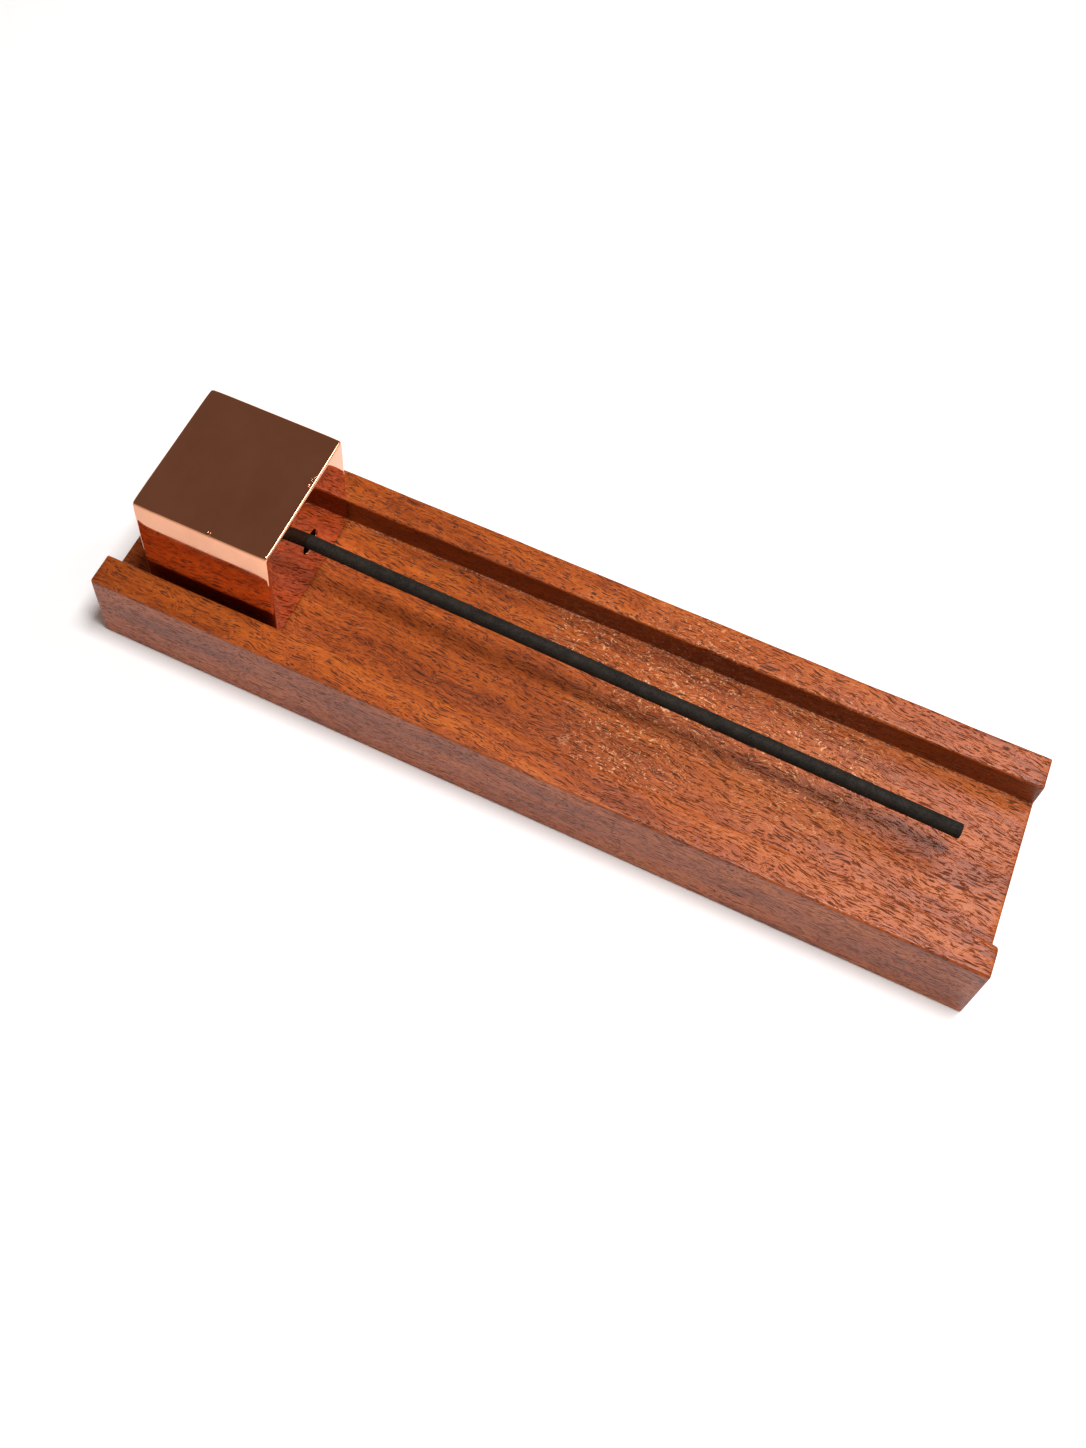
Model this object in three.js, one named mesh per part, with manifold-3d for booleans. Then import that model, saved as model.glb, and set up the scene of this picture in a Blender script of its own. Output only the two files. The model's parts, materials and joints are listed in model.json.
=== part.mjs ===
// Incense stick holder: a milled hardwood tray, a polished copper block that stands loose in the tray's
// channel, and the stick that the block holds out over the channel.
//
// Units are millimetres and +Z is up. The origin is the middle of the tray's underside. +X runs along the
// channel from the block's end to the free end, and +Y runs across the channel.

import * as THREE from 'three';
import Module from 'manifold-3d';
import { mergeVertices } from 'three/addons/utils/BufferGeometryUtils.js';
import { RoundedBoxGeometry } from 'three/addons/geometries/RoundedBoxGeometry.js';

// ---- Driving dimensions ----

// Tray, milled from one board. Its channel is open at both ends and as wide as the block plus some side play.
const TRAY_LENGTH = 254.0;
const TRAY_HEIGHT = 27.9;
const RAIL_WIDTH = 9.2;
const CHANNEL_DEPTH = 10.15;
const TRAY_EDGE_RADIUS = 1.0;
const TRAY_END_EASE = 0.6;

// Block, a copper cube with every edge rounded in polishing.
const BLOCK_LENGTH = 40.7;
const BLOCK_WIDTH = 42.2;
const BLOCK_HEIGHT = 41.2;
const BLOCK_EDGE_RADIUS = 1.1;
const BLOCK_SETBACK = 11.4;
const BLOCK_OFF_CENTRE = 0.5;

// Rubber pad glued under the block, set in from its edges.
const PAD_THICKNESS = 0.6;
const PAD_INSET = 0.5;
const PAD_CORNER_RADIUS = 1.5;

// Blind bore in the block's free face, with a broken rim, and the rubber grommet pressed into it.
const BORE_DEPTH = 30.0;
const BORE_BELOW_MIDDLE = 1.1;
const BORE_RIM_BREAK = 0.6;
const DRILL_POINT_DEPTH = 1.6;
const GROMMET_WALL = 0.9;
const GROMMET_RECESS = 2.4;
const GROMMET_LENGTH = 8.0;

// Stick, charcoal paste rolled round a bamboo core that is bare at its held end.
const STICK_LENGTH = 215.0;
const STICK_DIAMETER = 4.1;
const STICK_DROOP_DEGREES = 2.35;
const STICK_TIP_EASE = 0.35;
const CORE_DIAMETER = 2.0;
const CORE_BARE_LENGTH = 16.0;
const CORE_END_EASE = 0.25;
const PASTE_TIP_COVER = 3.0;

// ---- Clearances between pieces ----

const CHANNEL_PLAY = 2.4;
const PAD_TO_BLOCK = 0.05;
const PAD_TO_TRAY = 0.05;
const GROMMET_TO_BORE = 0.05;
const GROMMET_TO_STICK = 0.25;
const CORE_TO_PASTE = 0.05;
const STICK_TO_BORE_END = 0.3;

// ---- Smoothness of round shapes ----

const EDGE_SEGMENTS = 4;
const BORE_SEGMENTS = 48;
const STICK_SEGMENTS = 24;

// ---- Sizes that follow from the ones above ----

const CHANNEL_WIDTH = BLOCK_WIDTH + CHANNEL_PLAY;
const TRAY_WIDTH = CHANNEL_WIDTH + 2 * RAIL_WIDTH;
const FLOOR_TOP = TRAY_HEIGHT - CHANNEL_DEPTH;
const PAD_BOTTOM = FLOOR_TOP + PAD_TO_TRAY;
const BLOCK_BOTTOM = PAD_BOTTOM + PAD_THICKNESS + PAD_TO_BLOCK;
const BLOCK_MIDDLE = new THREE.Vector3(
  -TRAY_LENGTH / 2 + BLOCK_SETBACK + BLOCK_LENGTH / 2,
  BLOCK_OFF_CENTRE,
  BLOCK_BOTTOM + BLOCK_HEIGHT / 2,
);
const BORE_MOUTH = new THREE.Vector3(
  BLOCK_MIDDLE.x + BLOCK_LENGTH / 2,
  BLOCK_MIDDLE.y,
  BLOCK_MIDDLE.z - BORE_BELOW_MIDDLE,
);

// The stick goes in until its core is just short of the bore's end. The grommet's hole is straight, so it
// is wide enough for the stick to pass through at its droop.
const DROOP = THREE.MathUtils.degToRad(STICK_DROOP_DEGREES);
const STICK_INSIDE = BORE_DEPTH - STICK_TO_BORE_END;
const STICK_REACH = STICK_LENGTH - STICK_INSIDE;
const GROMMET_HOLE_DIAMETER = STICK_DIAMETER / Math.cos(DROOP)
  + 2 * (GROMMET_RECESS + GROMMET_LENGTH) * Math.tan(DROOP) + 2 * GROMMET_TO_STICK;
const BORE_DIAMETER = GROMMET_HOLE_DIAMETER + 2 * (GROMMET_WALL + GROMMET_TO_BORE);

// ---- Materials ----

const hardwood = new THREE.MeshStandardMaterial({ color: 0xa3502a, roughness: 0.55, metalness: 0.0 });
const polishedCopper = new THREE.MeshStandardMaterial({ color: 0xd98a68, roughness: 0.08, metalness: 1.0 });
const blackRubber = new THREE.MeshStandardMaterial({ color: 0x161412, roughness: 0.85, metalness: 0.0 });
const charcoalPaste = new THREE.MeshStandardMaterial({ color: 0x24221f, roughness: 0.9, metalness: 0.0 });
const bamboo = new THREE.MeshStandardMaterial({ color: 0xc79a5e, roughness: 0.7, metalness: 0.0 });

// ---- Solid modelling helpers ----

const wasm = await Module();
wasm.setup();

// A geometry as a manifold solid, with the vertices that its faces share merged.
function toSolid(geometry) {
  const positions = geometry.clone();
  positions.deleteAttribute('normal');
  positions.deleteAttribute('uv');
  const merged = mergeVertices(positions);
  return new wasm.Manifold(new wasm.Mesh({
    numProp: 3,
    vertProperties: new Float32Array(merged.attributes.position.array),
    triVerts: new Uint32Array(merged.index.array),
  }));
}

// A manifold solid as a geometry.
function toGeometry(solid) {
  const mesh = solid.getMesh();
  const geometry = new THREE.BufferGeometry();
  geometry.setAttribute('position', new THREE.BufferAttribute(mesh.vertProperties, 3));
  geometry.setIndex(new THREE.BufferAttribute(mesh.triVerts, 1));
  geometry.computeVertexNormals();
  return geometry;
}

// A turned piece whose profile gives [radius, distance along the axis], with its axis laid along +X.
function turned(profile, segments) {
  const points = profile.map(([radius, along]) => new THREE.Vector2(radius, along));
  const geometry = new THREE.LatheGeometry(points, segments);
  geometry.rotateZ(-Math.PI / 2);
  return geometry;
}

function namedMesh(name, geometry, material) {
  const mesh = new THREE.Mesh(geometry, material);
  mesh.name = name;
  return mesh;
}

// ---- Pieces ----

// The tray's section across the channel, drawn with X as width and Y as height. Every outside corner is
// rounded, and the two inside corners of the channel are sharp, as a cutter leaves them.
function traySection() {
  const half = TRAY_WIDTH / 2;
  const inner = CHANNEL_WIDTH / 2;
  const r = TRAY_EDGE_RADIUS;
  const section = new THREE.Shape();
  section.moveTo(-half + r, 0);
  section.lineTo(half - r, 0);
  section.absarc(half - r, r, r, -Math.PI / 2, 0);
  section.absarc(half - r, TRAY_HEIGHT - r, r, 0, Math.PI / 2);
  section.absarc(inner + r, TRAY_HEIGHT - r, r, Math.PI / 2, Math.PI);
  section.lineTo(inner, FLOOR_TOP);
  section.lineTo(-inner, FLOOR_TOP);
  section.absarc(-inner - r, TRAY_HEIGHT - r, r, 0, Math.PI / 2);
  section.absarc(-half + r, TRAY_HEIGHT - r, r, Math.PI / 2, Math.PI);
  section.absarc(-half + r, r, r, Math.PI, 1.5 * Math.PI);
  return section;
}

// The tray is the section run along the channel, with the edges of both ends eased.
function makeTray() {
  const geometry = new THREE.ExtrudeGeometry(traySection(), {
    depth: TRAY_LENGTH - 2 * TRAY_END_EASE,
    curveSegments: EDGE_SEGMENTS,
    bevelEnabled: true,
    bevelThickness: TRAY_END_EASE,
    bevelSize: TRAY_END_EASE,
    bevelOffset: -TRAY_END_EASE,
    bevelSegments: 2,
  });
  geometry.translate(0, 0, -TRAY_LENGTH / 2 + TRAY_END_EASE);
  geometry.rotateX(Math.PI / 2);
  geometry.rotateZ(Math.PI / 2);
  return namedMesh('tray', geometry, hardwood);
}

// The block is a rounded cube, drilled from its free face and broken at the rim of the bore.
function makeBlock() {
  const cube = toSolid(new RoundedBoxGeometry(
    BLOCK_LENGTH,
    BLOCK_WIDTH,
    BLOCK_HEIGHT,
    EDGE_SEGMENTS,
    BLOCK_EDGE_RADIUS,
  ));
  const radius = BORE_DIAMETER / 2;
  const overrun = BORE_RIM_BREAK;
  const drill = turned([
    [0, -BORE_DEPTH - DRILL_POINT_DEPTH],
    [radius, -BORE_DEPTH],
    [radius, -BORE_RIM_BREAK],
    [radius + BORE_RIM_BREAK + overrun, overrun],
    [0, overrun],
  ], BORE_SEGMENTS);
  drill.translate(BLOCK_LENGTH / 2, 0, -BORE_BELOW_MIDDLE);
  const mesh = namedMesh('block', toGeometry(cube.subtract(toSolid(drill))), polishedCopper);
  mesh.position.copy(BLOCK_MIDDLE);
  return mesh;
}

// The pad is a rounded square of sheet rubber, as large as the block's underside less an inset all round.
function makePad() {
  const halfLength = BLOCK_LENGTH / 2 - PAD_INSET;
  const halfWidth = BLOCK_WIDTH / 2 - PAD_INSET;
  const r = PAD_CORNER_RADIUS;
  const outline = new THREE.Shape();
  outline.moveTo(-halfLength + r, -halfWidth);
  outline.absarc(halfLength - r, -halfWidth + r, r, -Math.PI / 2, 0);
  outline.absarc(halfLength - r, halfWidth - r, r, 0, Math.PI / 2);
  outline.absarc(-halfLength + r, halfWidth - r, r, Math.PI / 2, Math.PI);
  outline.absarc(-halfLength + r, -halfWidth + r, r, Math.PI, 1.5 * Math.PI);
  const geometry = new THREE.ExtrudeGeometry(outline, {
    depth: PAD_THICKNESS,
    curveSegments: EDGE_SEGMENTS,
    bevelEnabled: false,
  });
  const mesh = namedMesh('block_pad', geometry, blackRubber);
  mesh.position.set(BLOCK_MIDDLE.x, BLOCK_MIDDLE.y, PAD_BOTTOM);
  return mesh;
}

// The grommet is a plain sleeve that fills the bore round the stick, a little in from the rim.
function makeGrommet() {
  const outer = BORE_DIAMETER / 2 - GROMMET_TO_BORE;
  const inner = GROMMET_HOLE_DIAMETER / 2;
  const innerEnd = -GROMMET_RECESS - GROMMET_LENGTH;
  const geometry = turned([
    [inner, innerEnd],
    [outer, innerEnd],
    [outer, -GROMMET_RECESS],
    [inner, -GROMMET_RECESS],
    [inner, innerEnd],
  ], BORE_SEGMENTS);
  const mesh = namedMesh('grommet', geometry, blackRubber);
  mesh.position.copy(BORE_MOUTH);
  return mesh;
}

// The paste is one rolled rod, bored from its held end for the core and blunt at its tip.
function makePaste() {
  const outer = STICK_DIAMETER / 2;
  const inner = CORE_DIAMETER / 2 + CORE_TO_PASTE;
  const start = -STICK_INSIDE + CORE_BARE_LENGTH;
  const coreHoleEnd = STICK_REACH - PASTE_TIP_COVER + CORE_TO_PASTE;
  return namedMesh('stick_paste', turned([
    [inner, start],
    [outer, start],
    [outer, STICK_REACH - STICK_TIP_EASE],
    [outer - STICK_TIP_EASE, STICK_REACH],
    [0, STICK_REACH],
    [0, coreHoleEnd],
    [inner, coreHoleEnd],
    [inner, start],
  ], STICK_SEGMENTS), charcoalPaste);
}

// The core is a bamboo splint that runs through the paste and comes out bare at the held end.
function makeCore() {
  const radius = CORE_DIAMETER / 2;
  const start = -STICK_INSIDE;
  const end = STICK_REACH - PASTE_TIP_COVER;
  return namedMesh('stick_core', turned([
    [0, start],
    [radius - CORE_END_EASE, start],
    [radius, start + CORE_END_EASE],
    [radius, end],
    [0, end],
  ], STICK_SEGMENTS), bamboo);
}

// ---- Assembly ----

// The stick's own axis starts in the middle of the bore's mouth and droops towards the free end.
const stick = new THREE.Group();
stick.position.copy(BORE_MOUTH);
stick.rotation.y = DROOP;
stick.add(makePaste(), makeCore());

const holder = new THREE.Group();
holder.add(makeTray(), makeBlock(), makePad(), makeGrommet(), stick);

export default holder;
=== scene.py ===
import json
import math
import bpy
import numpy as np
from mathutils import Matrix, Vector, noise


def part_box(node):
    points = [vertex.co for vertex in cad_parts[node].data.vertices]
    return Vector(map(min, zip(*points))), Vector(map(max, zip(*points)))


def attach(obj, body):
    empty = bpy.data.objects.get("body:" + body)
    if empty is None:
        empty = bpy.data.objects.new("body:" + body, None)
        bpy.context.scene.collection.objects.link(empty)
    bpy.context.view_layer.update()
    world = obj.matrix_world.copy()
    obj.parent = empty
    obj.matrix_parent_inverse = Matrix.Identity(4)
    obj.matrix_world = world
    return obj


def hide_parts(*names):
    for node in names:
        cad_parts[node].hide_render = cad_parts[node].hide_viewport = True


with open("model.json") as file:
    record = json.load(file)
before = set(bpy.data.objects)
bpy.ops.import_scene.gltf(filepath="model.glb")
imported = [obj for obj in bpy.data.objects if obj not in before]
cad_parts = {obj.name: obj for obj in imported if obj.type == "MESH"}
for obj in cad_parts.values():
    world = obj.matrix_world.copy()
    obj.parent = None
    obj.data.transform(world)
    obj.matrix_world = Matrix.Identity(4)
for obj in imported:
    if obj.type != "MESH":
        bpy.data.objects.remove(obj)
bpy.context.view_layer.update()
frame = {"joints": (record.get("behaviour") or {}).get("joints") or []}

MM = 0.001


# ---- Tray ----------------------------------------------------------------------------------------
# The tray is one board of open-pored reddish hardwood with a flat channel ploughed along it and out at
# both ends. It is planed, its edges are eased by hand with abrasive paper, and it is rubbed with oil.

tray_low, tray_high = (Vector(corner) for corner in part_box("tray"))
pad_low, pad_high = (Vector(corner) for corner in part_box("block_pad"))

RAIL_WIDTH = 9.2 * MM
PAD_CLEARANCE = 0.05 * MM        # between the block's pad and the channel's floor
EDGE_RADIUS = 0.70 * MM          # eased long edges
EDGE_UNEVENNESS = 0.6            # share by which hand sanding varies that radius
EDGE_WAVE = 17.0 * MM            # length of one such variation
WORN_CORNER_RADIUS = 2.6 * MM    # inner edge of the front rail where it is rubbed at the free end
WORN_CORNER_LENGTH = 7.0 * MM
ROOT_RADIUS = 0.12 * MM          # root of the channel's walls
END_EASE = 0.5 * MM
STATION_STEP = 1.6 * MM
FLAT_STEP = 2.2 * MM
ARC_STEPS = 6
END_STEPS = 4
SURFACE_WAVE = 0.02 * MM         # how far the planed faces wander
WAVE_SCALE = Vector((40.0, 90.0, 90.0))

tray_half_width = tray_high.y
tray_height = tray_high.z
channel_half_width = tray_half_width - RAIL_WIDTH
channel_floor = pad_low.z - PAD_CLEARANCE


def lofted(name, rings, ring_closes=False):
    """A closed smooth mesh through rings of points, with its faces outward and its place in its mesh.
    The ends are capped, unless the last ring joins the first."""
    count = len(rings[0])
    vertices = [tuple(point) for ring in rings for point in ring]
    faces = []
    for s in range(len(rings) if ring_closes else len(rings) - 1):
        near, far = s * count, (s + 1) % len(rings) * count
        faces += [(near + k, near + (k + 1) % count, far + (k + 1) % count, far + k) for k in range(count)]
    if not ring_closes:
        last = (len(rings) - 1) * count
        faces += [tuple(reversed(range(count))), tuple(range(last, last + count))]
    mesh = bpy.data.meshes.new(name)
    mesh.from_pydata(vertices, [], faces)
    mesh.update()
    mesh.calc_loop_triangles()
    corners = np.array(vertices)[np.array([triangle.vertices[:] for triangle in mesh.loop_triangles])]
    if np.einsum("ij,ij->i", corners[:, 0], np.cross(corners[:, 1], corners[:, 2])).sum() < 0:
        mesh.flip_normals()
    mesh.shade_smooth()
    obj = bpy.data.objects.new(name, mesh)
    bpy.context.scene.collection.objects.link(obj)
    return obj


def arc(centre, radius, start, end, steps=ARC_STEPS):
    """Points on an arc in a section's plane, from start to end in degrees."""
    angles = np.radians(np.linspace(start, end, steps + 1))
    return [(centre[0] + radius * math.cos(a), centre[1] + radius * math.sin(a)) for a in angles]


def eased_shares(count):
    """Shares from 0 to 1, both left out, that are closer at both ends, so that flats shade flat."""
    return [0.5 - 0.5 * math.cos(math.pi * k / count) for k in range(1, count)]


def joined(arcs, divisions):
    """One closed outline of arcs, with the flat after each divided as divisions says."""
    outline = []
    for index, run in enumerate(arcs):
        start, end = run[-1], arcs[(index + 1) % len(arcs)][0]
        outline += run
        outline += [(start[0] + (end[0] - start[0]) * t, start[1] + (end[1] - start[1]) * t)
                    for t in eased_shares(divisions[index])]
    return outline


def tray_arcs(inset, radii):
    """The arcs of the tray's section, drawn in from its faces by inset. radii are its edges' own."""
    bottom_back, top_back, lip_back, lip_front, top_front, bottom_front = radii
    half, top, base = tray_half_width - inset, tray_height - inset, inset
    inner, bed, root = channel_half_width + inset, channel_floor - inset, ROOT_RADIUS + inset
    return [
        arc((half - bottom_back, base + bottom_back), bottom_back, -90, 0),
        arc((half - top_back, top - top_back), top_back, 0, 90),
        arc((inner + lip_back, top - lip_back), lip_back, 90, 180),
        arc((inner - root, bed + root), root, 0, -90),
        arc((-inner + root, bed + root), root, -90, -180),
        arc((-inner - lip_front, top - lip_front), lip_front, 0, 90),
        arc((-half + top_front, top - top_front), top_front, 90, 180),
        arc((-half + bottom_front, base + bottom_front), bottom_front, 180, 270),
    ]


def tray_radii(x, inset):
    """The six edge radii at x, which wander. Each shrinks by the inset, to keep the eased ends even."""
    radii = []
    for edge in range(6):
        wander = noise.noise(Vector((x / EDGE_WAVE, 7.3 * edge, 0.0)))
        radii.append(EDGE_RADIUS * (1.0 + EDGE_UNEVENNESS * wander))
    worn = max(0.0, 1.0 - (tray_high.x - x) / WORN_CORNER_LENGTH)
    radii[3] += worn ** 2 * (WORN_CORNER_RADIUS - EDGE_RADIUS)
    return [max(0.05 * MM, radius - inset) for radius in radii]


def tray_ring(x, inset, divisions):
    """One section of the tray at x."""
    ring = []
    for y, z in joined(tray_arcs(inset, tray_radii(x, inset)), divisions):
        pull = SURFACE_WAVE * 0.5 * (noise.noise(Vector((x, y, z)) * WAVE_SCALE) - 1.2)
        lowest = z < tray_low.z + EDGE_RADIUS
        ring.append((x, y * (1 + pull / tray_half_width), z if lowest else z + pull))
    return ring


turns = [math.radians(90 * k / END_STEPS) for k in range(END_STEPS + 1)]
end_stations = [(END_EASE * (1 - math.sin(turn)), END_EASE * (1 - math.cos(turn)))
                for turn in reversed(turns)]
run_count = round((tray_high.x - tray_low.x) / STATION_STEP)
run = np.linspace(tray_low.x + END_EASE, tray_high.x - END_EASE, run_count + 1)[1:-1]
tray_stations = [(tray_low.x + away, inset) for away, inset in end_stations]
tray_stations += [(x, 0.0) for x in run]
tray_stations += [(tray_high.x - away, inset) for away, inset in reversed(end_stations)]
flats = [tray_height, RAIL_WIDTH, tray_height - channel_floor, 2 * channel_half_width,
         tray_height - channel_floor, RAIL_WIDTH, tray_height, 2 * tray_half_width]
tray_divisions = [max(3, round(flat / FLAT_STEP)) for flat in flats]
tray_board = lofted("tray_board", [tray_ring(x, inset, tray_divisions) for x, inset in tray_stations])


def new_material(name):
    """A material with an output and one Principled shader, its tree and that shader."""
    material = bpy.data.materials.new(name)
    material.use_nodes = True
    tree = material.node_tree
    tree.nodes.clear()
    output = tree.nodes.new("ShaderNodeOutputMaterial")
    shader = tree.nodes.new("ShaderNodeBsdfPrincipled")
    tree.links.new(shader.outputs["BSDF"], output.inputs["Surface"])
    return material, tree, shader


def feed(tree, node, inputs):
    """Set a node's inputs to values, or join them to other nodes' sockets."""
    for key, value in inputs.items():
        if isinstance(value, bpy.types.NodeSocket):
            tree.links.new(value, node.inputs[key])
        else:
            node.inputs[key].default_value = value


def add_node(tree, kind, inputs=None, **settings):
    """A new node with its settings made and its inputs fed."""
    node = tree.nodes.new(kind)
    for key, value in settings.items():
        setattr(node, key, value)
    feed(tree, node, inputs or {})
    return node


def calc(tree, operation, a, b=0.0, c=0.0, clamp=False):
    """The result socket of one Math node."""
    node = add_node(tree, "ShaderNodeMath", {0: a, 1: b, 2: c}, operation=operation, use_clamp=clamp)
    return node.outputs[0]


def calc_vector(tree, operation, a, b):
    """The result socket of one Vector Math node."""
    return add_node(tree, "ShaderNodeVectorMath", {0: a, 1: b}, operation=operation).outputs[0]


def mixed(tree, share, a, b, blend="MIX"):
    """The result socket of one colour Mix node. Its colour sockets are the seventh and eighth."""
    node = add_node(tree, "ShaderNodeMix", {0: share, 6: a, 7: b}, data_type="RGBA", blend_type=blend)
    return node.outputs[2]


def ramp(tree, value, stops):
    """A colour ramp's result socket. stops are pairs of place and colour."""
    node = add_node(tree, "ShaderNodeValToRGB", {"Fac": value})
    elements = node.color_ramp.elements
    while len(elements) < len(stops):
        elements.new(0.5)
    for element, (place, colour) in zip(elements, stops):
        element.position = place
        element.color = (*colour, 1.0)
    return node.outputs["Color"]


def spread(tree, value, low, high, to_low=0.0, to_high=1.0):
    """The value's range from low to high eased onto another range."""
    return add_node(tree, "ShaderNodeMapRange", {
        "Value": value, "From Min": low, "From Max": high, "To Min": to_low, "To Max": to_high,
    }, interpolation_type="SMOOTHSTEP").outputs[0]


def noise_of(tree, vector, scale, detail=2.0, roughness=0.5, output=0):
    """A noise texture's value, or its colour as output 1, with the vector scaled on each axis."""
    scaled = calc_vector(tree, "MULTIPLY", vector, scale)
    return add_node(tree, "ShaderNodeTexNoise", {
        "Vector": scaled, "Scale": 1.0, "Detail": detail, "Roughness": roughness}).outputs[output]


def wander_of(tree, vector, scale):
    """A noise texture's colour as a push either way on each axis."""
    return calc_vector(tree, "SUBTRACT", noise_of(tree, vector, scale, output=1), (0.5, 0.5, 0.5))


def far_from(tree, place, point):
    """The distance of a place from a point."""
    node = add_node(tree, "ShaderNodeVectorMath", {0: place, 1: point}, operation="DISTANCE")
    return node.outputs["Value"]


def object_millimetres(tree):
    """The place on the object in millimetres."""
    place = add_node(tree, "ShaderNodeTexCoord").outputs["Object"]
    return calc_vector(tree, "MULTIPLY", place, (1000.0, 1000.0, 1000.0))


def new_group(name, inputs, outputs):
    """A shader node group with named sockets, each given as (name, kind, value)."""
    tree = bpy.data.node_groups.new(name, "ShaderNodeTree")
    for socket_name, kind, value in inputs:
        socket = tree.interface.new_socket(socket_name, in_out="INPUT", socket_type=kind)
        if value is not None:
            socket.default_value = value
    for socket_name, kind in outputs:
        tree.interface.new_socket(socket_name, in_out="OUTPUT", socket_type=kind)
    return tree, tree.nodes.new("NodeGroupInput").outputs, tree.nodes.new("NodeGroupOutput")


def use_group(tree, group, inputs):
    """A node that shows the group in a tree, with its inputs fed."""
    node = tree.nodes.new("ShaderNodeGroup")
    node.node_tree = group
    feed(tree, node, inputs)
    return node


def drawn_out(tree, given):
    """A group's Vector scaled by its Along on X and by its Across on the other axes."""
    stretch = add_node(tree, "ShaderNodeCombineXYZ", {
        0: given["Along"], 1: given["Across"], 2: given["Across"]})
    return calc_vector(tree, "MULTIPLY", given["Vector"], stretch.outputs[0])


def fibre_group():
    """Long fibres along X: a fine one and a coarse one, both from 0 to 1."""
    tree, given, result = new_group(
        "long_fibres",
        [("Vector", "NodeSocketVector", None), ("Along", "NodeSocketFloat", 0.35),
         ("Across", "NodeSocketFloat", 7.0)],
        [("Fine", "NodeSocketFloat"), ("Coarse", "NodeSocketFloat")])
    stretched = drawn_out(tree, given)
    fine = noise_of(tree, stretched, (1.0, 1.0, 1.0), 2.0, 0.6)
    coarse = noise_of(tree, stretched, (0.2, 0.26, 0.26), 3.0, 0.6)
    tree.links.new(fine, result.inputs["Fine"])
    tree.links.new(coarse, result.inputs["Coarse"])
    return tree


def dash_group():
    """Dashes along X where long cells of the wood are cut open, and dots where they are cut across."""
    tree, given, result = new_group(
        "grain_dashes",
        [("Vector", "NodeSocketVector", None), ("Along", "NodeSocketFloat", 0.2),
         ("Across", "NodeSocketFloat", 1.2), ("Size", "NodeSocketFloat", 0.3)],
        [("Mask", "NodeSocketFloat")])
    cells = add_node(tree, "ShaderNodeTexVoronoi", {"Vector": drawn_out(tree, given), "Scale": 1.0})
    dark_middle = calc(tree, "MULTIPLY", given["Size"], 0.45)
    mask = spread(tree, cells.outputs["Distance"], given["Size"], dark_middle)
    tree.links.new(mask, result.inputs["Mask"])
    return tree


WOOD_LIGHT = (0.46, 0.110, 0.013)
WOOD_MIDDLE = (0.325, 0.062, 0.006)
WOOD_DARK = (0.125, 0.020, 0.003)
PORE_COLOUR = (0.040, 0.007, 0.002, 1.0)
SLIVER_SHEEN_COLOUR = (0.56, 0.18, 0.045, 1.0)
FLECK_GLINT_COLOUR = (0.74, 0.36, 0.17, 1.0)
DUST_COLOUR = (0.62, 0.47, 0.36, 1.0)
# colour of the painted shade on the channel's inner walls
WALL_SHADE_COLOUR = (0.11, 0.018, 0.003, 1.0)
PORE_DEPTH = 0.11 * MM
GRAIN_SLANT = 0.09               # rise of the grain across the board, per length along it
LONG_WANDER, SHORT_WANDER = 6.5, 0.9                    # how far the grain wanders, in millimetres
CURL_TURN = 7.0                  # and how far it is thrown about in the curl

# Each kind of open pore: a shift of its pattern, cells per millimetre along and across the grain, its
# size as a share of a cell, and how dark it is. The first kind's size follows the figure instead.
PORE_KINDS = (
    ((0.0, 0.0, 0.0), 0.115, 1.8, None, 1.0),
    ((41.0, 13.7, 5.3), 0.22, 2.3, 0.31, 0.9),
    ((7.0, 29.1, 3.3), 0.34, 3.2, 0.32, 0.6),
)
RAISED_FIBRES = ((3.0, 0.45, 0.45), 0.20, 1.6, 0.33)

# middle and radius of each patch of curl, in millimetres
CURL_PLACES = (((32.0, 13.0, 18.0), 30.0), ((24.0, -8.0, 18.0), 24.0), ((2.0, 18.0, 18.0), 15.0),
               ((70.0, 8.0, 18.0), 30.0))

long_fibres = fibre_group()
grain_dashes = dash_group()


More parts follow.
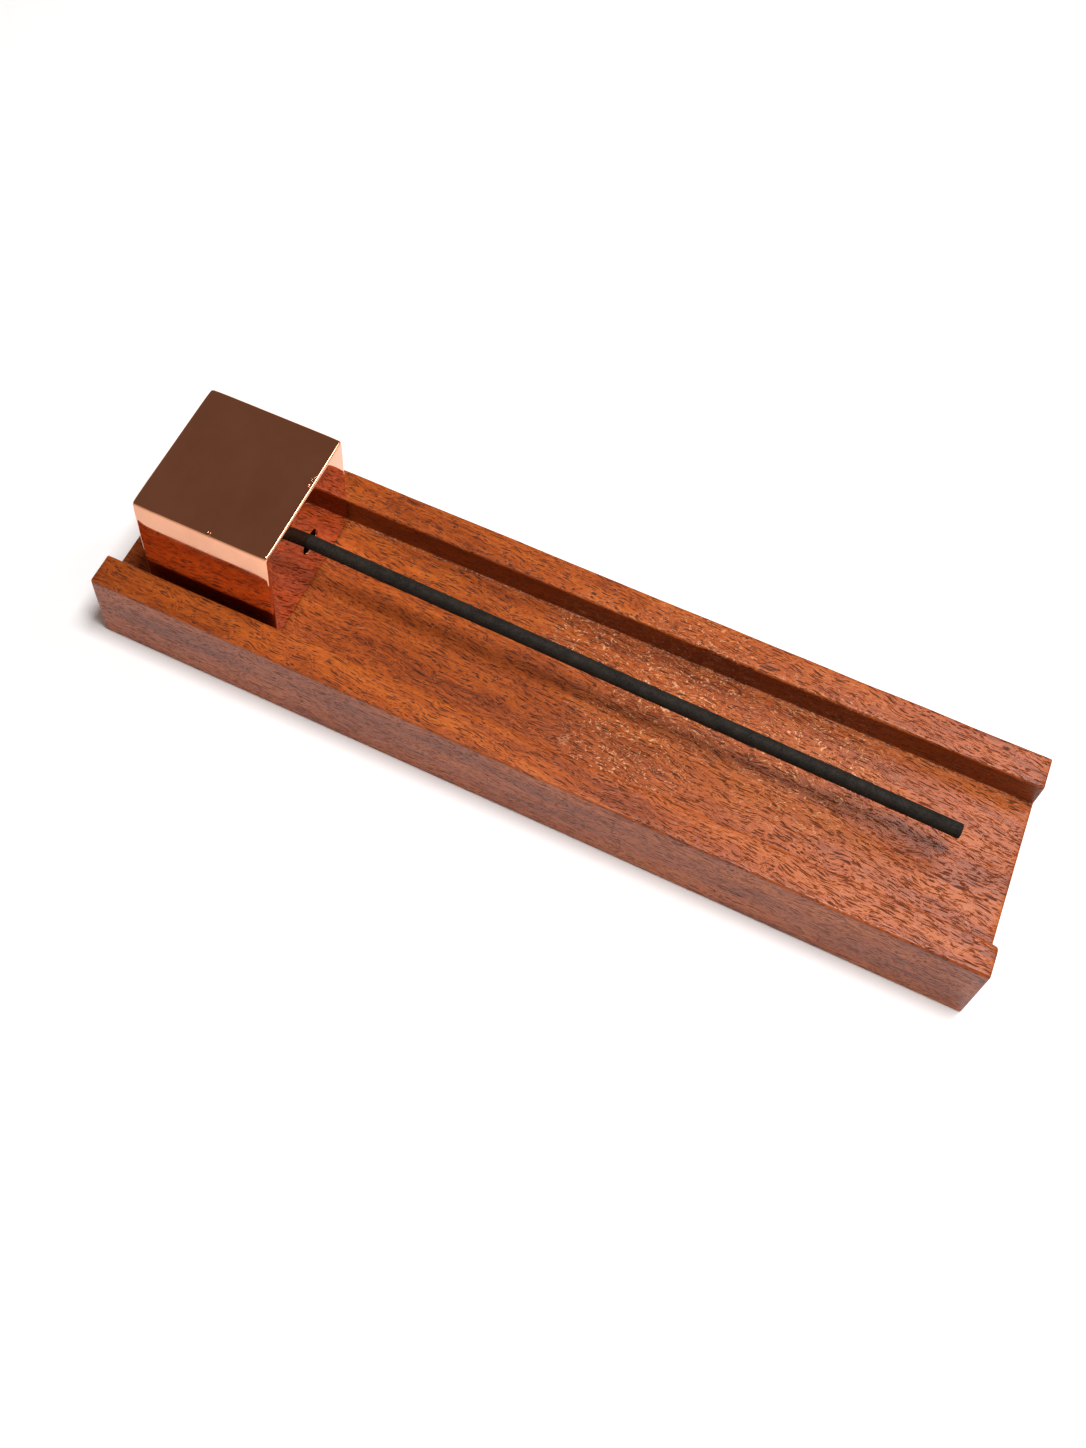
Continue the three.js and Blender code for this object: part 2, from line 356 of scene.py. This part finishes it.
def oiled_hardwood():
    """Wavy grain, dark open pores, paler raised fibres as painted sheen, curl flecks as painted glints,
    thin oil finish.
    """
    material, tree, shader = new_material("oiled_hardwood")
    place = object_millimetres(tree)
    axes = add_node(tree, "ShaderNodeSeparateXYZ", {0: place}).outputs
    bed, top, wall = channel_floor / MM, tray_height / MM, channel_half_width / MM

    # The grain runs a little across the board, and wanders about that line in long and short waves.
    rise = calc(tree, "MULTIPLY", axes["X"], GRAIN_SLANT)
    grain = calc_vector(tree, "ADD", place, add_node(tree, "ShaderNodeCombineXYZ", {1: rise}).outputs[0])
    for scale, reach_across in (((0.05, 0.10, 0.10), LONG_WANDER), ((0.22, 0.5, 0.5), SHORT_WANDER)):
        wander = wander_of(tree, place, scale)
        push = calc_vector(tree, "MULTIPLY", wander, (0.0, reach_across, reach_across))
        grain = calc_vector(tree, "ADD", grain, push)

    # Curl: patches where the fibres turn every way.
    curl = None
    for centre, radius in CURL_PLACES:
        patch = spread(tree, far_from(tree, place, centre), radius, radius * 0.3)
        curl = patch if curl is None else calc(tree, "MAXIMUM", curl, patch)
    swirl = noise_of(tree, place, (0.3, 0.3, 0.3), output=1)
    swirl = calc_vector(tree, "MULTIPLY", swirl, (CURL_TURN, CURL_TURN, CURL_TURN))
    turned_fibres = noise_of(tree, calc_vector(tree, "ADD", place, swirl), (0.55, 1.9, 0.7), 3.0, 0.6)

    figure = noise_of(tree, grain, (0.012, 0.14, 0.14), 4.0, 0.6)
    fibres = use_group(tree, long_fibres, {"Vector": grain, "Along": 0.30, "Across": 6.0}).outputs
    tone = calc(tree, "MULTIPLY_ADD", figure, 0.60, calc(tree, "MULTIPLY", fibres["Coarse"], 0.40))
    colour = ramp(tree, tone, [(0.34, WOOD_DARK), (0.49, WOOD_MIDDLE), (0.66, WOOD_LIGHT)])

    # Open pores in three sizes. The large ones are wider where the figure is coarse.
    width = calc(tree, "MULTIPLY_ADD", figure, 0.34, 0.19)
    pores = None
    for shift, along, across, size, darkness in PORE_KINDS:
        dashes = use_group(tree, grain_dashes, {
            "Vector": calc_vector(tree, "ADD", grain, shift), "Along": along, "Across": across,
            "Size": size or width})
        kind = calc(tree, "MULTIPLY", dashes.outputs[0], darkness)
        pores = kind if pores is None else calc(tree, "MAXIMUM", pores, kind)
    shift, along, across, size = RAISED_FIBRES
    raised = use_group(tree, grain_dashes, {
        "Vector": calc_vector(tree, "ADD", grain, shift), "Along": along, "Across": across, "Size": size})

    # A paler tint on the raised fibres: painted sheen, beside their bump.
    colour = mixed(tree, calc(tree, "MULTIPLY", raised.outputs[0], 0.14), colour, SLIVER_SHEEN_COLOUR)
    fibre_shade = ramp(tree, fibres["Fine"], [(0.32, (0.62, 0.62, 0.62)), (0.68, (1.18, 1.18, 1.18))])
    colour = mixed(tree, 0.55, colour, fibre_shade, "MULTIPLY")
    # Pale flecks where the curl's fibres turn: painted glints, with a bump of their own.
    curl_glints = calc(tree, "MULTIPLY", curl, spread(tree, turned_fibres, 0.55, 0.64))
    colour = mixed(tree, calc(tree, "MULTIPLY", curl_glints, 0.75), colour, FLECK_GLINT_COLOUR)
    colour = mixed(tree, calc(tree, "MULTIPLY", pores, 0.92), colour, PORE_COLOUR)

    # Painted shade: the channel's inner walls are darkened towards a dark brown, as they stand in shade
    # inside the channel.
    off_middle = calc(tree, "ABSOLUTE", axes["Y"])
    wall_away = calc(tree, "ABSOLUTE", calc(tree, "SUBTRACT", off_middle, wall))
    wall_shade = calc(tree, "MULTIPLY", spread(tree, wall_away, 0.35, 0.15),
                   spread(tree, axes["Z"], bed + 0.2, bed + 0.7))
    wall_shade = calc(tree, "MULTIPLY", wall_shade, spread(tree, axes["Z"], top - 0.5, top - 1.1))
    colour = mixed(tree, calc(tree, "MULTIPLY", wall_shade, 0.55), colour, WALL_SHADE_COLOUR)

    # Dust lies along the root of the back wall.
    root_away = calc(tree, "ABSOLUTE", calc(tree, "SUBTRACT", axes["Y"], wall))
    bed_away = calc(tree, "ABSOLUTE", calc(tree, "SUBTRACT", axes["Z"], bed))
    dust_bed = calc(tree, "MULTIPLY", spread(tree, root_away, 1.5, 0.1), spread(tree, bed_away, 0.7, 0.1))
    grains = spread(tree, noise_of(tree, place, (1.1, 2.2, 2.2), 4.0, 0.7), 0.52, 0.66)
    dust = calc(tree, "MULTIPLY", dust_bed, grains)
    colour = mixed(tree, calc(tree, "MULTIPLY", dust, 0.6), colour, DUST_COLOUR)

    roughness = spread(tree, fibres["Fine"], 0.3, 0.7, 0.29, 0.40)
    raised_height = calc(tree, "MULTIPLY", raised.outputs[0], 0.25)
    height = calc(tree, "MULTIPLY_ADD", fibres["Fine"], 0.20, raised_height)
    height = calc(tree, "ADD", height, calc(tree, "MULTIPLY", curl_glints, 0.5))
    height = calc(tree, "SUBTRACT", height, pores)
    bump = add_node(tree, "ShaderNodeBump", {"Height": height, "Strength": 1.0, "Distance": PORE_DEPTH})
    feed(tree, shader, {
        "Base Color": colour, "Normal": bump.outputs["Normal"], "Specular IOR Level": 0.24,
        "Roughness": calc(tree, "MULTIPLY_ADD", pores, 0.3, roughness)})
    return material


tray_board.data.materials.append(oiled_hardwood())
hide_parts("tray")
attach(tray_board, "tray")


# ---- Block ---------------------------------------------------------------------------------------
# The block is a solid copper cube, drilled from one side and buffed to a mirror. Buffing has rounded its
# edges and rolled its faces off towards them, and handling has left a few dents and pits along the top.

block_low, block_high = (Vector(corner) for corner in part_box("block"))
block_middle = (block_low + block_high) / 2
block_half = (block_high - block_low) / 2
grommet_low, grommet_high = (Vector(corner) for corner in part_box("grommet"))
bore_axis = (grommet_low + grommet_high) / 2

BLOCK_EDGE = 0.70 * MM           # radius of the edges round each end face
BLOCK_CORNER = 1.10 * MM         # radius of the edges along the bore's direction
BORE_CLEARANCE = 0.05 * MM       # between the grommet and the bore
BORE_DEPTH = 30.0 * MM
DRILL_POINT = 1.6 * MM
RIM_BREAK = 0.50 * MM
ROLL_OFF = 0.09 * MM             # how far buffing takes a face down at its edges
ROLL_OFF_REACH = 2.0 * MM
CORNER_ROLL_OFF = 0.12 * MM      # and how much more at the block's top corners
CORNER_STEPS = 7
SIDE_STEPS = 64
BORE_STATIONS = 24
FACE_STATIONS = 40
LENGTH_STATIONS = 58
END_STATIONS = 24

bore_radius = (grommet_high.y - grommet_low.y) / 2 + BORE_CLEARANCE
bore_y, bore_z = bore_axis.y - block_middle.y, bore_axis.z - block_middle.z

# x and y from the block's middle on its top face, radius and depth of each dent, all in millimetres
DENTS = [
    (20.0, 3.6, 0.5, 0.07), (19.9, 6.0, 0.6, 0.08), (20.0, -9.5, 0.5, 0.05), (2.8, -20.3, 0.6, 0.08),
    (-8.5, -20.3, 0.5, 0.05), (-14.0, -20.2, 0.7, 0.07), (12.5, -20.3, 0.6, 0.05),
    (-19.2, -19.6, 0.8, 0.10),
]


def rounded_square(half_y, half_z, radius):
    """Points round a square with rounded corners, closer together towards the corners."""
    flat_y, flat_z = half_y - radius, half_z - radius
    corners = [arc((sy * flat_y, sz * flat_z), radius, 90 * k, 90 * k + 90, CORNER_STEPS)
               for k, (sy, sz) in enumerate(((1, 1), (-1, 1), (-1, -1), (1, -1)))]
    return joined(corners, [SIDE_STEPS] * 4)


def round_ring(radius):
    """A ring about the bore, with its points in line with those of the face's outline."""
    outline = rounded_square(block_half.y, block_half.z, BLOCK_CORNER)
    angles = [math.atan2(z - bore_z, y - bore_y) for y, z in outline]
    return [(bore_y + radius * math.cos(a), bore_z + radius * math.sin(a)) for a in angles]


def edge_ring(inset):
    """A ring of the block's outline, drawn in by inset."""
    return rounded_square(block_half.y - inset, block_half.z - inset, BLOCK_CORNER - inset)


def block_rings():
    """Pairs of x from the free face and a ring: from the bore's end, out over the free face, along the
    block and over its far face."""
    rings = [(-BORE_DEPTH - DRILL_POINT * (1 - t), round_ring(bore_radius * t)) for t in (0.02, 0.5, 0.97)]
    rings += [(x, round_ring(bore_radius)) for x in np.linspace(-BORE_DEPTH, -RIM_BREAK, BORE_STATIONS)]
    for k in range(1, CORNER_STEPS + 1):
        turn = math.radians(90 * k / CORNER_STEPS)
        widening = RIM_BREAK * (1 - math.cos(turn))
        rings.append((-RIM_BREAK * (1 - math.sin(turn)), round_ring(bore_radius + widening)))
    rim, outline = round_ring(bore_radius + RIM_BREAK), edge_ring(BLOCK_EDGE)
    for t in eased_shares(FACE_STATIONS):
        between = [(a[0] + (b[0] - a[0]) * t, a[1] + (b[1] - a[1]) * t) for a, b in zip(rim, outline)]
        rings.append((0.0, between))
    length = 2 * block_half.x
    turns = [math.radians(90 * k / CORNER_STEPS) for k in range(CORNER_STEPS + 1)]
    rings += [(-BLOCK_EDGE * (1 - math.cos(t)), edge_ring(BLOCK_EDGE * (1 - math.sin(t)))) for t in turns]
    rings += [(-BLOCK_EDGE - (length - 2 * BLOCK_EDGE) * t, edge_ring(0.0))
              for t in eased_shares(LENGTH_STATIONS)]
    rings += [(-length + BLOCK_EDGE * (1 - math.sin(t)), edge_ring(BLOCK_EDGE * (1 - math.cos(t))))
              for t in turns]
    for t in reversed(eased_shares(END_STATIONS)):
        rings.append((-length, [(y * t, z * t) for y, z in outline]))
    return rings


def buffed(point):
    """A point of the block's outside, given from its middle, after its faces are rolled off and dented."""
    moved = point.copy()
    height = (point.z + block_half.z) / (2 * block_half.z)
    for axis in range(3):
        share = min(1.0, abs(point[axis]) / block_half[axis]) ** 8
        aways = [block_half[a] - abs(point[a]) for a in range(3) if a != axis]
        roll = ROLL_OFF * sum(math.exp(-away / ROLL_OFF_REACH) for away in aways)
        if axis < 2:
            roll += CORNER_ROLL_OFF * height ** 3 * math.exp(-aways[0] / ROLL_OFF_REACH)
        moved[axis] -= math.copysign(roll * share, point[axis])
    if point.z > block_half.z - 2 * BLOCK_EDGE:
        for x, y, radius, depth in DENTS:
            away = math.hypot(point.x / MM - x, point.y / MM - y) / radius
            moved.z -= depth * MM * math.exp(-away * away)
    return moved


def placed_block_rings():
    """The block's rings in place, with only its outside buffed."""
    placed = []
    rim_square = (bore_radius + RIM_BREAK) ** 2 * 1.0001
    for x, ring in block_rings():
        points = []
        for y, z in ring:
            point = Vector((block_half.x + x, y, z))
            in_bore = x > -BORE_DEPTH - DRILL_POINT and (y - bore_y) ** 2 + (z - bore_z) ** 2 < rim_square
            points.append(block_middle + (point if in_bore else buffed(point)))
        placed.append(points)
    return placed


COPPER = (0.80, 0.385, 0.225)
TARNISH = (0.70, 0.315, 0.172)
# colour of the painted shade along the block's foot
FOOT_SHADE_COLOUR = (0.035, 0.014, 0.008, 1.0)
FOOT_SHADE_HEIGHT = 0.9               # height of the painted shade along the block's foot, in millimetres

# middle and radius of each pitted patch, from the block's middle, in millimetres
PIT_PLACES = (((19.9, 4.2, 20.6), 1.5), ((19.8, 6.6, 20.6), 1.7), ((3.0, -20.3, 20.6), 1.2))


def polished_copper():
    """A mirror polish with faint smears and hairlines, pitted where the top's edges have been knocked, with
    painted shade along its foot.
    """
    material, tree, shader = new_material("polished_copper")
    place = object_millimetres(tree)
    smear = noise_of(tree, place, (0.09, 0.05, 0.07), 5.0, 0.65)
    hair = noise_of(tree, place, (0.25, 9.0, 9.0), 3.0, 0.7)
    worn = None
    for offset, radius in PIT_PLACES:
        centre = tuple(block_middle / MM + Vector(offset))
        patch = spread(tree, far_from(tree, place, centre), radius, radius * 0.4)
        worn = patch if worn is None else calc(tree, "MAXIMUM", worn, patch)
    speck = spread(tree, noise_of(tree, place, (3.4, 2.6, 3.0), 2.0, 0.6), 0.55, 0.62)
    pits = calc(tree, "MULTIPLY", worn, speck)
    colour = ramp(tree, smear, [(0.35, COPPER), (0.75, TARNISH)])
    height_up = add_node(tree, "ShaderNodeSeparateXYZ", {0: place}).outputs["Z"]
    # Painted shade: a dark band along the block's foot, where it meets its pad.
    foot = block_low.z / MM
    base = spread(tree, height_up, foot + FOOT_SHADE_HEIGHT, foot + 0.5 * FOOT_SHADE_HEIGHT)
    colour = mixed(tree, calc(tree, "MULTIPLY", base, 0.9), colour, FOOT_SHADE_COLOUR)
    height = calc(tree, "MULTIPLY_ADD", hair, 0.004, calc(tree, "MULTIPLY", pits, -0.22))
    bump = add_node(tree, "ShaderNodeBump", {"Height": height, "Strength": 0.8, "Distance": 0.12 * MM})
    feed(tree, shader, {
        "Base Color": colour, "Metallic": 1.0, "Normal": bump.outputs["Normal"],
        "Roughness": calc(tree, "MULTIPLY_ADD", pits, 0.45, spread(tree, smear, 0.3, 0.75, 0.025, 0.07))})
    return material


block_body = lofted("block_body", placed_block_rings())
block_body.data.materials.append(polished_copper())
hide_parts("block")
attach(block_body, "block")


# ---- Pad and grommet -----------------------------------------------------------------------------
# Both are plain black rubber. The pad is a sheet glued under the block, which keeps it from skating
# about. The grommet is a moulded sleeve pushed into the bore, where it grips the stick.

PAD_CORNER = 1.5 * MM
PAD_EDGE = 0.12 * MM
GROMMET_WALL = 0.9 * MM
GROMMET_LIP = 0.3 * MM
TURNED_STEPS = 48


def pad_rings():
    """The pad from below: a sheet whose cut edges are slightly softened."""
    middle, half = (pad_low + pad_high) / 2, (pad_high - pad_low) / 2
    rings = []
    for z, inset in ((pad_low.z, half.x * 0.5), (pad_low.z, PAD_EDGE), (pad_low.z + PAD_EDGE, 0.0),
                     (pad_high.z - PAD_EDGE, 0.0), (pad_high.z, PAD_EDGE), (pad_high.z, half.x * 0.5)):
        radius = max(0.2 * MM, PAD_CORNER - inset)
        outline = rounded_square(half.x - inset, half.y - inset, radius)
        rings.append([(middle.x + x, middle.y + y, z) for x, y in outline])
    return rings


def turned_rings(mouth, along, profile, skin=None):
    """Rings about an axis from pairs of place along it and radius. skin gives a share for each point."""
    side = along.cross(Vector((0, 0, 1))).normalized()
    up = side.cross(along)
    rings = []
    for away, radius in profile:
        ring = []
        for k in range(TURNED_STEPS):
            angle = 2 * math.pi * k / TURNED_STEPS
            out = side * math.cos(angle) + up * math.sin(angle)
            share = skin(away, out) if skin else 1.0
            ring.append(mouth + along * away + out * radius * share)
        rings.append(ring)
    return rings


grommet_outer = (grommet_high.y - grommet_low.y) / 2
grommet_inner = grommet_outer - GROMMET_WALL
grommet_length = grommet_high.x - grommet_low.x
lip = arc((0.0, 0.0), GROMMET_LIP, 0, 90, ARC_STEPS)
grommet_profile = [(grommet_length - GROMMET_LIP + x, grommet_outer - GROMMET_LIP + r) for x, r in lip]
grommet_profile += [(GROMMET_LIP - x, grommet_outer - GROMMET_LIP + r) for x, r in reversed(lip)]
grommet_profile += [(GROMMET_LIP - x, grommet_inner + GROMMET_LIP - r) for x, r in lip]
grommet_profile += [(grommet_length - GROMMET_LIP + x, grommet_inner + GROMMET_LIP - r)
                    for x, r in reversed(lip)]
grommet_start = Vector((grommet_low.x, bore_axis.y, bore_axis.z))
grommet_sleeve = lofted(
    "grommet_sleeve", turned_rings(grommet_start, Vector((1, 0, 0)), grommet_profile), ring_closes=True)
pad_sheet = lofted("pad_sheet", pad_rings())


def mottle_group():
    """The mottled, faintly pitted skin of a matt pressed or moulded mass: a colour and a height."""
    tree, given, result = new_group(
        "matt_mottle",
        [("Vector", "NodeSocketVector", None), ("Scale", "NodeSocketFloat", 1.0),
         ("Dark", "NodeSocketColor", None), ("Pale", "NodeSocketColor", None)],
        [("Color", "NodeSocketColor"), ("Height", "NodeSocketFloat")])
    scaled = add_node(tree, "ShaderNodeVectorMath", {
        0: given["Vector"], "Scale": given["Scale"]}, operation="SCALE")
    broad = noise_of(tree, scaled.outputs[0], (0.35, 0.35, 0.35), 3.0, 0.6)
    fine = noise_of(tree, scaled.outputs[0], (2.2, 2.2, 2.2), 4.0, 0.7)
    height = calc(tree, "MULTIPLY_ADD", fine, 0.6, calc(tree, "MULTIPLY", broad, 0.4))
    colour = mixed(tree, spread(tree, height, 0.36, 0.64), given["Dark"], given["Pale"])
    tree.links.new(colour, result.inputs["Color"])
    tree.links.new(height, result.inputs["Height"])
    return tree


matt_mottle = mottle_group()


def mottled_material(name, scale, dark, pale, roughness, depth):
    """A matt material made of the mottle group."""
    material, tree, shader = new_material(name)
    skin = use_group(tree, matt_mottle, {
        "Vector": object_millimetres(tree), "Scale": scale,
        "Dark": (*dark, 1.0), "Pale": (*pale, 1.0)}).outputs
    bump = add_node(tree, "ShaderNodeBump", {"Height": skin["Height"], "Strength": 0.8, "Distance": depth})
    feed(tree, shader, {
        "Base Color": skin["Color"], "Normal": bump.outputs["Normal"], "Specular IOR Level": 0.18,
        "Roughness": spread(tree, skin["Height"], 0.3, 0.7, roughness + 0.1, roughness - 0.1)})
    return material


RUBBER_DARK, RUBBER_PALE = (0.006, 0.0055, 0.005), (0.020, 0.018, 0.016)
rubber = mottled_material("black_rubber", 1.6, RUBBER_DARK, RUBBER_PALE, 0.7, 0.05 * MM)
for rubber_piece, node in ((pad_sheet, "block_pad"), (grommet_sleeve, "grommet")):
    rubber_piece.data.materials.append(rubber)
    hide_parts(node)
    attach(rubber_piece, "block")


# ---- Stick ---------------------------------------------------------------------------------------
# Charcoal paste is rolled by hand round a bamboo splint, so the rod is not quite round or even, and its
# skin is matt. It is cut off blunt at the free end, and the splint is bare where it stands in the bore.

paste_low, paste_high = (Vector(corner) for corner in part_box("stick_paste"))
core_low, core_high = (Vector(corner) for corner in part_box("stick_core"))
stick_joint = next(joint for joint in frame["joints"] if joint["name"] == "stick_slide")

TIP_EASE = 0.45 * MM
SKIN_DEPTH = 0.07 * MM
ROD_STEP = 0.7 * MM
PASTE_COVER = 3.0 * MM           # paste beyond the core's hidden end
CORE_CLEARANCE = 0.05 * MM
SPLINT_EASE = 0.25 * MM

stick_along = Vector(stick_joint["axis"]).normalized()
bore_mouth = Vector((block_high.x, bore_axis.y, bore_axis.z))
paste_radius = (paste_high.y - paste_low.y) / 2
core_radius = (core_high.y - core_low.y) / 2


def reach(x, radius, end):
    """How far along the stick an end face lies whose box ends at x. end is 1 for the tip and -1 for the
    held end."""
    return (x - bore_mouth.x - end * radius * abs(stick_along.z)) / stick_along.x


paste_start, paste_end = reach(paste_low.x, paste_radius, -1), reach(paste_high.x, paste_radius, 1)
core_start, core_end = reach(core_low.x, core_radius, -1), paste_end - PASTE_COVER


def rolled_skin(away, out):
    """The share of the rod's radius at a place on its skin, always a little under one."""
    broad = noise.noise(Vector((away * 60.0, 0.0, 0.0)) + out * 0.5)
    fine = noise.noise(Vector((away * 420.0, 9.0, 0.0)) + out * 1.6)
    return 1.0 - SKIN_DEPTH / paste_radius * (0.5 + 0.35 * broad + 0.3 * fine)


hollow_radius = core_radius + CORE_CLEARANCE
tip = [(paste_end - TIP_EASE + a, paste_radius - TIP_EASE + r) for a, r in arc((0.0, 0.0), TIP_EASE, 90, 0)]
paste_profile = [(paste_start, hollow_radius), (paste_start, (hollow_radius + paste_radius) / 2)]
paste_profile += [(a, paste_radius) for a in np.arange(paste_start, paste_end - TIP_EASE, ROD_STEP)]
paste_profile += tip + [(paste_end, paste_radius * t) for t in (0.6, 0.3, 0.02)]
hollow_end = core_end + CORE_CLEARANCE
paste_hollow = [(hollow_end, hollow_radius * 0.02), (hollow_end, hollow_radius)]
paste_hollow += [(a, hollow_radius) for a in np.linspace(hollow_end, paste_start, 8)[1:-1]]
paste_rod = lofted("paste_rod", turned_rings(
    bore_mouth, stick_along, paste_profile + paste_hollow, rolled_skin), ring_closes=True)

splint = arc((0.0, 0.0), SPLINT_EASE, 0, 90, 3)
core_profile = [(core_start, core_radius * t) for t in (0.02, 0.5)]
core_profile += [(core_start + SPLINT_EASE - a, core_radius - SPLINT_EASE + r) for a, r in splint]
core_profile += [(a, core_radius) for a in np.linspace(core_start + 2 * SPLINT_EASE, core_end, 90)]
core_profile += [(core_end, core_radius * t) for t in (0.5, 0.02)]
splint_core = lofted("splint_core", turned_rings(bore_mouth, stick_along, core_profile))


def split_bamboo():
    """Straw-coloured split bamboo, with fibres along it."""
    material, tree, shader = new_material("split_bamboo")
    fibres = use_group(tree, long_fibres, {
        "Vector": object_millimetres(tree), "Along": 0.2, "Across": 5.0}).outputs
    colour = ramp(tree, fibres["Fine"], [(0.3, (0.36, 0.19, 0.07)), (0.7, (0.64, 0.42, 0.19))])
    bump = add_node(tree, "ShaderNodeBump", {
        "Height": fibres["Fine"], "Strength": 0.6, "Distance": 0.05 * MM})
    feed(tree, shader, {"Base Color": colour, "Normal": bump.outputs["Normal"],
                        "Roughness": spread(tree, fibres["Coarse"], 0.3, 0.7, 0.5, 0.7)})
    return material


CHARCOAL_DARK, CHARCOAL_PALE = (0.004, 0.003, 0.002), (0.017, 0.012, 0.008)
charcoal = mottled_material("charcoal_paste", 1.0, CHARCOAL_DARK, CHARCOAL_PALE, 0.75, 0.09 * MM)
for stick_piece, node, material, slot in (
        (paste_rod, "stick_paste", charcoal, "charcoal_paste"),
        (splint_core, "stick_core", split_bamboo(), "bamboo")):
    stick_piece.data.materials.append(material)
    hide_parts(node)
    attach(stick_piece, "stick")


# ---- Floor, light and camera ---------------------------------------------------------------------
# The holder stands on a plain white sweep under a soft overhead light, with a second one behind it to
# the right. The room is dim above and behind, and pale low down in front and to the right.

FLOOR_HALF = 1.6
floor_mesh = bpy.data.meshes.new("floor")
floor_mesh.from_pydata([(-FLOOR_HALF, -FLOOR_HALF, 0.0), (FLOOR_HALF, -FLOOR_HALF, 0.0),
                        (FLOOR_HALF, FLOOR_HALF, 0.0), (-FLOOR_HALF, FLOOR_HALF, 0.0)], [], [(0, 1, 2, 3)])
floor = bpy.data.objects.new("floor", floor_mesh)
bpy.context.scene.collection.objects.link(floor)
floor_material, floor_tree, floor_shader = new_material("white_sweep")
feed(floor_tree, floor_shader, {"Base Color": (0.94, 0.94, 0.94, 1.0), "Roughness": 0.9})
floor_mesh.materials.append(floor_material)

# place, aim, size in metres, and power in watts
LIGHTS = {
    "overhead": ((0.17, 0.00, 1.05), (0.0, 0.0, 0.0), (0.30, 0.26), 11.6),
    "behind_right": ((0.20, 0.235, 0.47), (0.12, 0.0, 0.02), (0.14, 0.20), 1.3),
}
for light_name, (light_place, aim, size, power) in LIGHTS.items():
    data = bpy.data.lights.new(light_name, "AREA")
    data.shape = "RECTANGLE"
    data.size, data.size_y = size
    data.energy = power
    light = bpy.data.objects.new(light_name, data)
    light.location = light_place
    light.rotation_euler = (Vector(aim) - Vector(light_place)).to_track_quat("-Z", "Y").to_euler()
    bpy.context.scene.collection.objects.link(light)

GLOW_HEADING = (0.72, -0.69, 0.0)
GLOW_COLOUR = (0.80, 0.77, 0.73, 1.0)
DIM_COLOUR = (0.166, 0.124, 0.108, 1.0)
world = bpy.data.worlds.new("studio")
world.use_nodes = True
bpy.context.scene.world = world
sky = world.node_tree
sky.nodes.clear()
sky_output = sky.nodes.new("ShaderNodeOutputWorld")
heading = add_node(sky, "ShaderNodeTexCoord").outputs["Generated"]
height = add_node(sky, "ShaderNodeSeparateXYZ", {0: heading}).outputs["Z"]
facing = add_node(sky, "ShaderNodeVectorMath", {
    0: heading, 1: GLOW_HEADING}, operation="DOT_PRODUCT").outputs["Value"]
glow = calc(sky, "MULTIPLY", spread(sky, height, 0.62, 0.22), spread(sky, facing, -0.35, 0.25))
room = mixed(sky, glow, DIM_COLOUR, GLOW_COLOUR)
background = add_node(sky, "ShaderNodeBackground", {"Color": room, "Strength": 1.0})
sky.links.new(background.outputs[0], sky_output.inputs["Surface"])

CAMERA_PLACE = Vector((0.05861, -0.19962, 0.43121))
CAMERA_AZIMUTH = math.radians(22.966)
CAMERA_ELEVATION = math.radians(54.647)
CAMERA_ROLL = math.radians(2.422)
camera_data = bpy.data.cameras.new("camera")
camera_data.sensor_width = 36.0
camera_data.lens = 41.616
camera_data.shift_x = 0.0436
camera_data.shift_y = -0.2087
camera_data.clip_start = 0.01
camera = bpy.data.objects.new("camera", camera_data)
bpy.context.scene.collection.objects.link(camera)
forward = Vector((-math.sin(CAMERA_AZIMUTH) * math.cos(CAMERA_ELEVATION),
                  math.cos(CAMERA_AZIMUTH) * math.cos(CAMERA_ELEVATION), -math.sin(CAMERA_ELEVATION)))
right = forward.cross(Vector((0, 0, 1))).normalized()
turned = Matrix.Rotation(-CAMERA_ROLL, 3, forward)
axes = Matrix((turned @ right, turned @ right.cross(forward), -forward)).transposed()
camera.matrix_world = Matrix.Translation(CAMERA_PLACE) @ axes.to_4x4()
bpy.context.scene.camera = camera
bpy.context.scene.view_settings.view_transform = "Standard"
